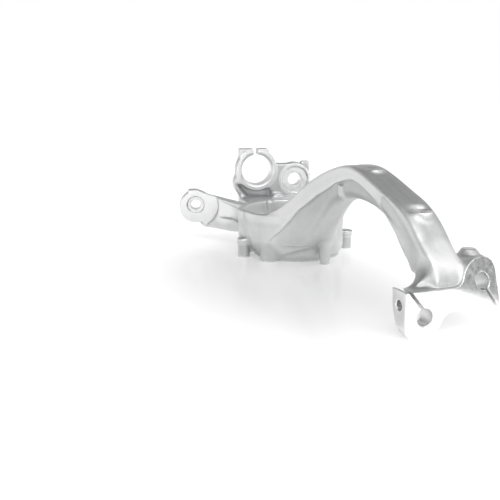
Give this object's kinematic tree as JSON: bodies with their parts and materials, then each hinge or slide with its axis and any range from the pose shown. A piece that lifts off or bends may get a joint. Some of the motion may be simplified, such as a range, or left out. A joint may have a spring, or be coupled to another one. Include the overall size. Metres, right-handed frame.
{
  "type": "steering knuckle",
  "caption": "One-piece forged knuckle: hub bowl, gooseneck to a two-bore upper fork, split lower clamp, lower arm boss and steering arm.",
  "frame": {"origin": "centre of the bearing bore on the outboard seat face, which the part lies on", "axes": "+Z inboard along the hub axis, -Y along the gooseneck to the upper fork, -X to the steering arm"},
  "size_m": [0.2219, 0.5245, 0.1416],
  "materials": {
    "forged_alloy": "blasted forging"
  },
  "bodies": {
    "root": {"knuckle": "forged_alloy"}
  },
  "joints": []
}
